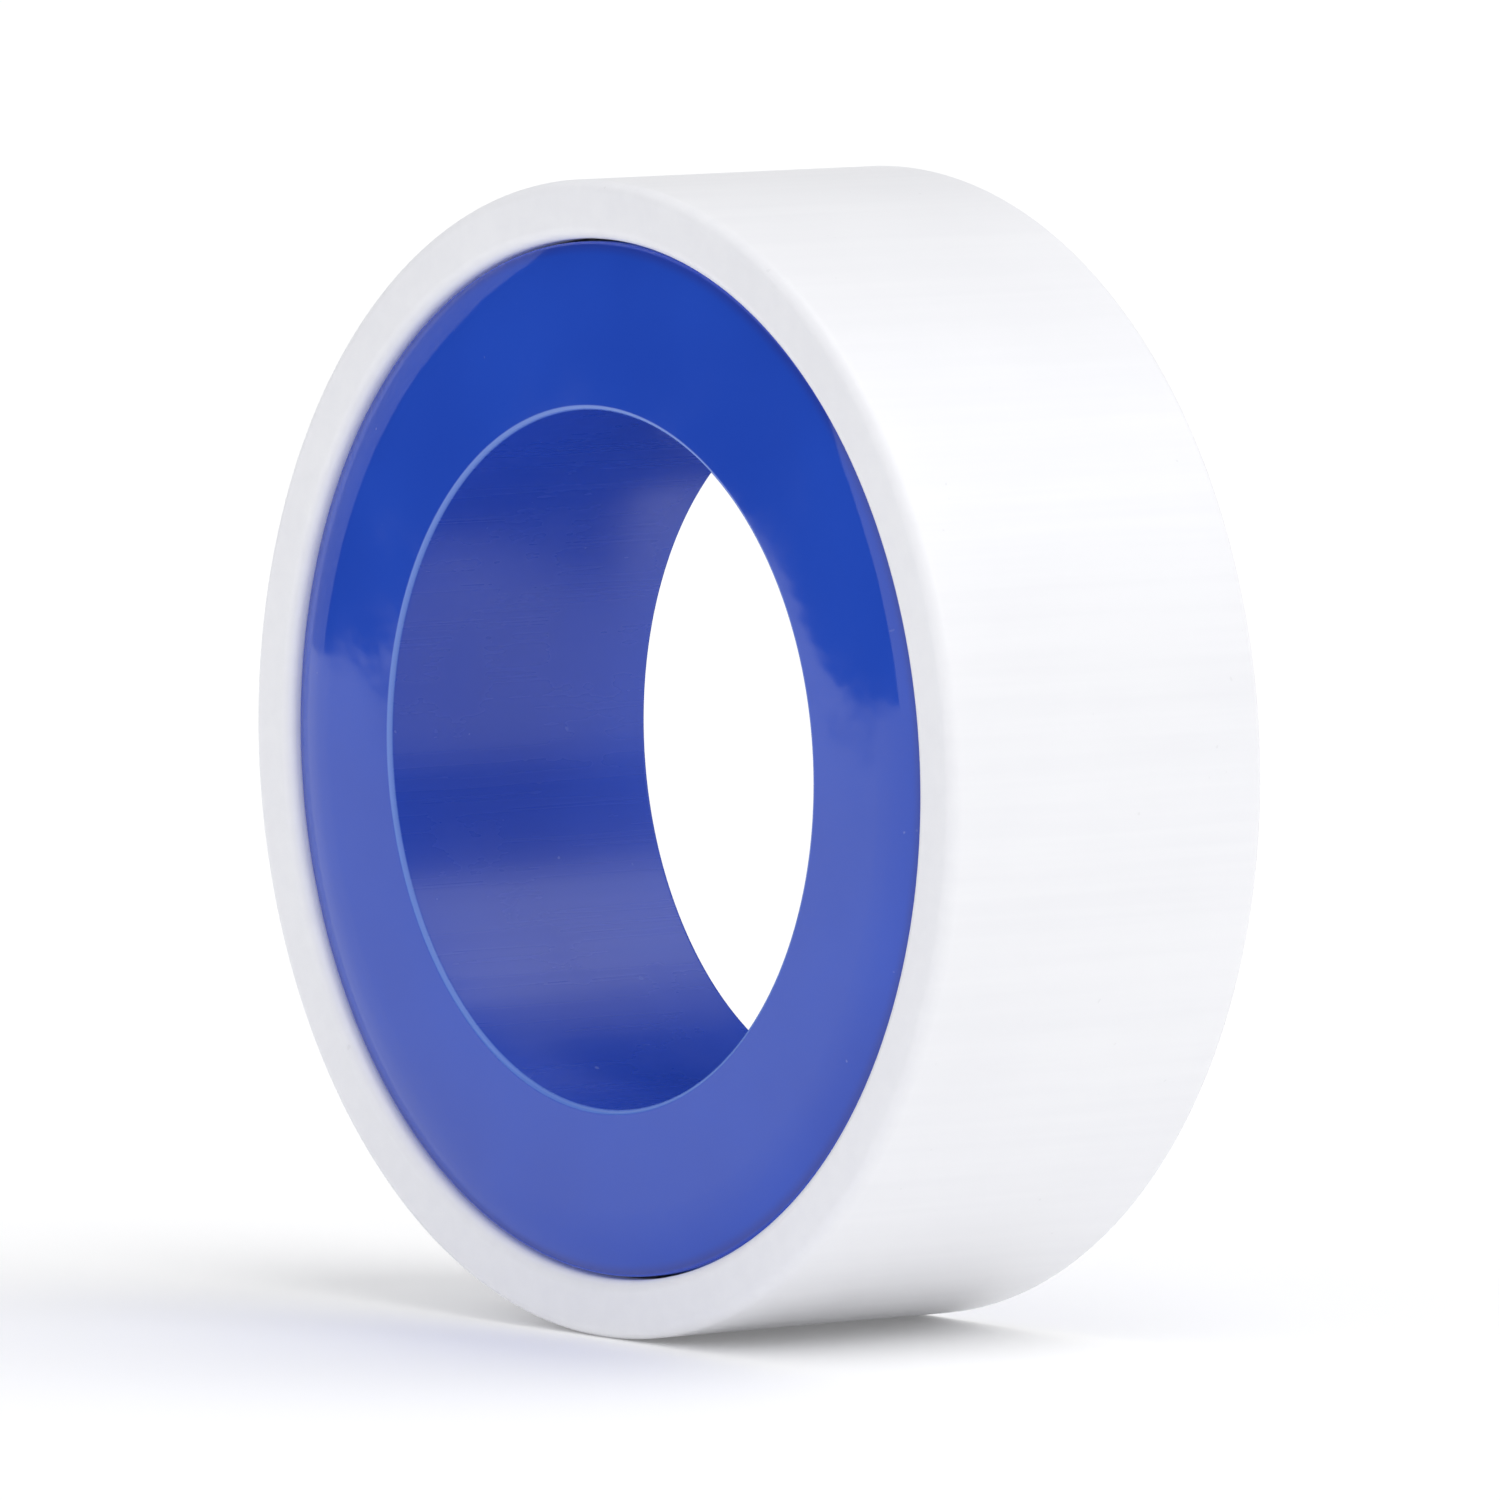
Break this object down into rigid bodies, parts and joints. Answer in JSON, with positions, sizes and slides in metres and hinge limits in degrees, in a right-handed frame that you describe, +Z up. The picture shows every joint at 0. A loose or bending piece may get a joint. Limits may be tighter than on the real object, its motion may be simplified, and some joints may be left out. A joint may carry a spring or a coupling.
{
  "type": "thread seal tape roll",
  "caption": "White round shell holding a blue flanged spool of thread seal tape; the spool turns in the shell and pulls out of it.",
  "frame": {"origin": "centre of the shell, on the roll's axis", "axes": "+Y along the roll's axis, away from the spool's flange; +Z up with the roll standing on its rim; +X across"},
  "size_m": [0.056, 0.0188, 0.056],
  "materials": {
    "shell_white": "satin moulded polyethylene",
    "spool_blue": "glossy moulded polypropylene",
    "tape_white": "matt unsintered fluoropolymer film"
  },
  "bodies": {
    "shell": {"shell": "shell_white"},
    "tape": {"tape": "tape_white"},
    "spool": {"spool": "spool_blue"}
  },
  "joints": [
    {"name": "spool_pull", "type": "slide", "parent": "shell", "child": "tape", "axis": [0, -1, 0], "range_m": [0, 0.024]},
    {"name": "spool_turn", "type": "hinge", "parent": "tape", "child": "spool", "pos_m": [0, 0, 0], "axis": [0, 1, 0], "continuous": true}
  ]
}
